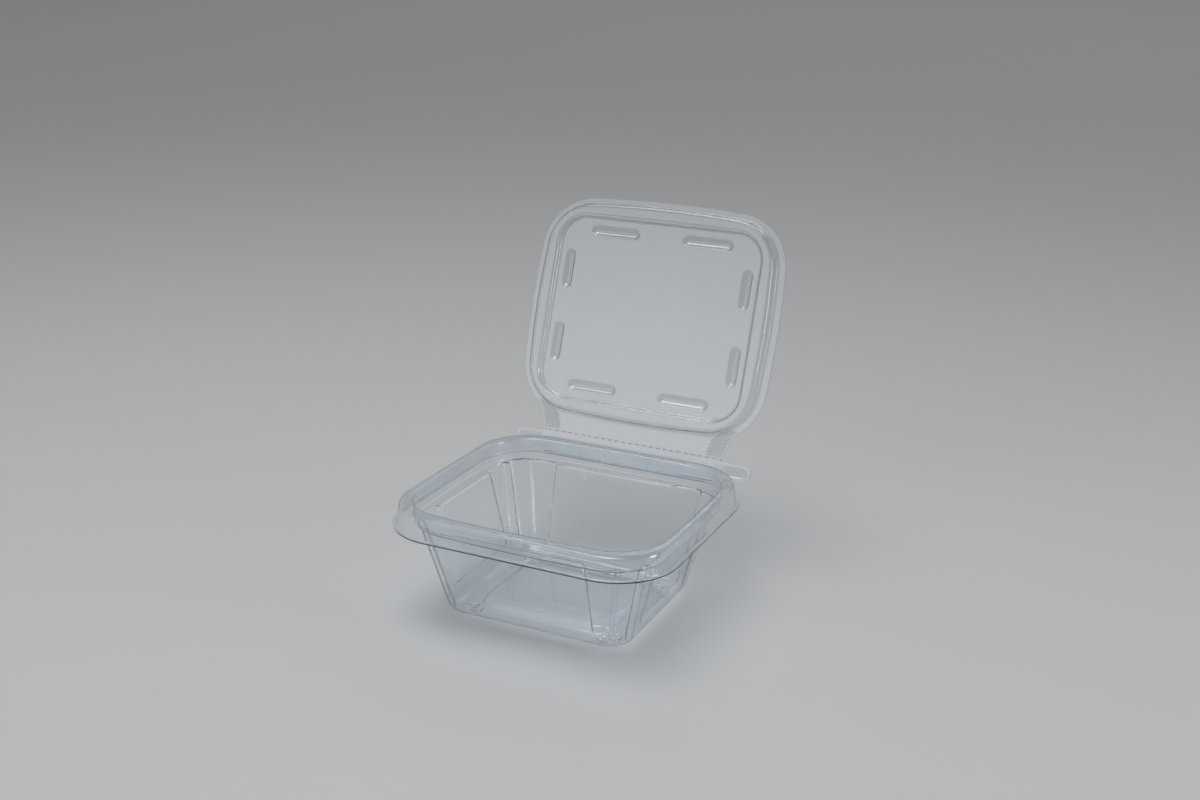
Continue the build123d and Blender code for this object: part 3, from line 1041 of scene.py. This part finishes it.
@dataclass
class Studio:
    """Pale floor, soft lamps, even grey surroundings and the camera at the photograph's angle."""

    camera_place: Triple = (276.4, -569.84, 306.6)
    azimuth: float = 25.56
    elevation: float = 18.89
    roll: float = 0.67
    lens: float = 45.09
    sensor: float = 36.0
    clip_near: float = 10.0
    clip_far: float = 100000.0
    floor_half: float = 9000.0
    floor_colour: Colour = (0.55, 0.56, 0.57, 1.0)
    floor_roughness: float = 0.4
    floor_shine: float = 0.35
    world_low: Colour = (0.36, 0.364, 0.37, 1.0)
    world_high: Colour = (0.24, 0.243, 0.248, 1.0)
    world_fade: float = 0.8
    sheet_bounces: int = 40
    lamps: tuple[SoftBox, ...] = (
        SoftBox("overhead_box", (-120.0, -260.0, 1150.0), (0.0, -120.0, 0.0), (1000.0, 700.0), 8.0),
        SoftBox("back_wash", (0.0, 3200.0, 2600.0), (0.0, 2600.0, 0.0), (5000.0, 2400.0), 12.0),
        SoftBox("front_box", (-550.0, -1150.0, 620.0), (0.0, 60.0, 110.0), (820.0, 760.0), 1.7),
        SoftBox("side_box", (1100.0, 70.0, 330.0), (0.0, 60.0, 110.0), (260.0, 640.0), 3.0),
    )

    def camera(self) -> None:
        """Sets up the camera from its place, its two angles and its roll."""
        azimuth, elevation, roll = (math.radians(a) for a in (self.azimuth, self.elevation, self.roll))
        back = Vector(
            (
                math.sin(azimuth) * math.cos(elevation),
                -math.cos(azimuth) * math.cos(elevation),
                math.sin(elevation),
            )
        )
        right = Vector((0.0, 0.0, 1.0)).cross(back).normalized()
        up = back.cross(right)
        turned_right = right * math.cos(roll) + up * math.sin(roll)
        turned_up = up * math.cos(roll) - right * math.sin(roll)
        data = bpy.data.cameras.new("camera")
        data.sensor_fit = "HORIZONTAL"
        data.sensor_width, data.lens = self.sensor, self.lens
        data.clip_start, data.clip_end = self.clip_near * MILLIMETRE, self.clip_far * MILLIMETRE
        obj = bpy.data.objects.new("camera", data)
        bpy.context.scene.collection.objects.link(obj)
        turn = Matrix((turned_right, turned_up, back)).transposed().to_4x4()
        obj.matrix_world = Matrix.Translation(Vector(self.camera_place) * MILLIMETRE) @ turn
        bpy.context.scene.camera = obj

    def floor(self) -> None:
        """A wide pale floor with a soft satin finish."""
        edge = self.floor_half * MILLIMETRE
        mesh = bpy.data.meshes.new("floor")
        corners = [(-edge, -edge, 0), (edge, -edge, 0), (edge, edge, 0), (-edge, edge, 0)]
        mesh.from_pydata(corners, [], [(0, 1, 2, 3)])
        obj = bpy.data.objects.new("floor", mesh)
        bpy.context.scene.collection.objects.link(obj)
        made = bpy.data.materials.new("pale_floor")
        made.use_nodes = True
        graph = Graph(made.node_tree)
        surface = graph.node(
            "ShaderNodeBsdfPrincipled",
            {},
            {
                "Base Color": self.floor_colour,
                "Roughness": self.floor_roughness,
                "Specular IOR Level": self.floor_shine,
            },
        )
        graph.node("ShaderNodeOutputMaterial", {}, {"Surface": surface})
        mesh.materials.append(made)

    def world(self) -> None:
        """Even grey surroundings, a little paler at the horizon."""
        world = bpy.data.worlds.new("studio")
        bpy.context.scene.world = world
        world.use_nodes = True
        graph = Graph(world.node_tree)
        place = graph.node("ShaderNodeTexCoord", {}, {}, "Generated")
        height = graph.node("ShaderNodeSeparateXYZ", {}, {"Vector": place}, "Z")
        share = graph.node("ShaderNodeMapRange", {}, {"Value": height, "From Min": 0.0, "From Max": self.world_fade})
        colour = graph.node(
            "ShaderNodeMix",
            {"data_type": "RGBA"},
            {"Factor": share, MIX_FIRST: self.world_low, MIX_SECOND: self.world_high},
            MIX_RESULT,
        )
        background = graph.node("ShaderNodeBackground", {}, {"Color": colour, "Strength": 1.0})
        graph.node("ShaderNodeOutputWorld", {}, {"Surface": background})

    def build(self) -> None:
        """Camera, floor, surroundings and lamps, with enough bounces for many clear layers."""
        scene = bpy.context.scene
        scene.view_settings.view_transform = "Standard"
        scene.cycles.max_bounces = self.sheet_bounces
        scene.cycles.transmission_bounces = self.sheet_bounces
        scene.cycles.transparent_max_bounces = self.sheet_bounces
        self.camera()
        self.floor()
        self.world()
        for lamp in self.lamps:
            lamp.build()


@dataclass
class Pack:
    """The whole pack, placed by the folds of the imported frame."""

    lip_fold: np.ndarray = field(default_factory=lambda: fold_place("strip_fold"))
    lid_fold: np.ndarray = field(default_factory=lambda: fold_place("lid_fold"))
    fold_reach: float = FOLD_REACH
    fold_gap: float = FOLD_GAP
    tear_ties: int = 26
    tear_tie_share: float = 0.76

    def build(self) -> list[bpy.types.Object]:
        """All the pieces of the pack.

        Returns:
            The dressed pieces.
        """
        across, upright = np.array([1.0, 0.0, 0.0]), np.array([0.0, 0.0, 1.0])
        up = (self.lid_fold - self.lip_fold) / np.linalg.norm(self.lid_fold - self.lip_fold)
        inside = np.cross(across, up)
        clear = ClearSheet("clear_plastic_sheet").material()
        base_middle = np.array([0.0, self.lip_fold[1] - self.fold_reach, 0.0])
        tray = Tray(Place(base_middle, across, np.array([0.0, 1.0, 0.0]), upright))
        lid = Lid(Place(self.lid_fold + up * self.fold_reach, across, up, inside))
        strip = TearStrip(Place(self.lid_fold, across, up, inside))
        lip_web = FoldWeb(
            "clear_lip_fold",
            (Body.BASE, Body.STRIP),
            self.lip_fold - np.array([0.0, self.fold_gap, 0.0]),
            self.lip_fold,
            self.lip_fold + up * self.fold_gap,
            strip.foot_half_width,
        )
        tear_web = FoldWeb(
            "clear_tear_line",
            (Body.STRIP, Body.LID),
            self.lid_fold - up * self.fold_gap,
            self.lid_fold,
            self.lid_fold + up * self.fold_gap,
            lid.neck_half_width,
            ties=self.tear_ties,
            tie_share=self.tear_tie_share,
        )
        makers = (tray, strip, lid, GripDots(lid), lip_web, tear_web)
        return [maker.build(clear) for maker in makers]


def fold_place(name: str) -> np.ndarray:
    """A joint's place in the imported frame, in millimetres."""
    joint = next(joint for joint in frame["joints"] if joint["name"] == name)
    return np.array(joint["pos_m"]) / MILLIMETRE


def main() -> None:
    """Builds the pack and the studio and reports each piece."""
    logging.basicConfig(level=logging.INFO, format="%(name)s: %(message)s")
    for piece in Pack().build():
        log.info("%s: %d faces before its wall", piece.name, len(piece.data.polygons))
    Studio().build()


if __name__ == "__main__":
    main()
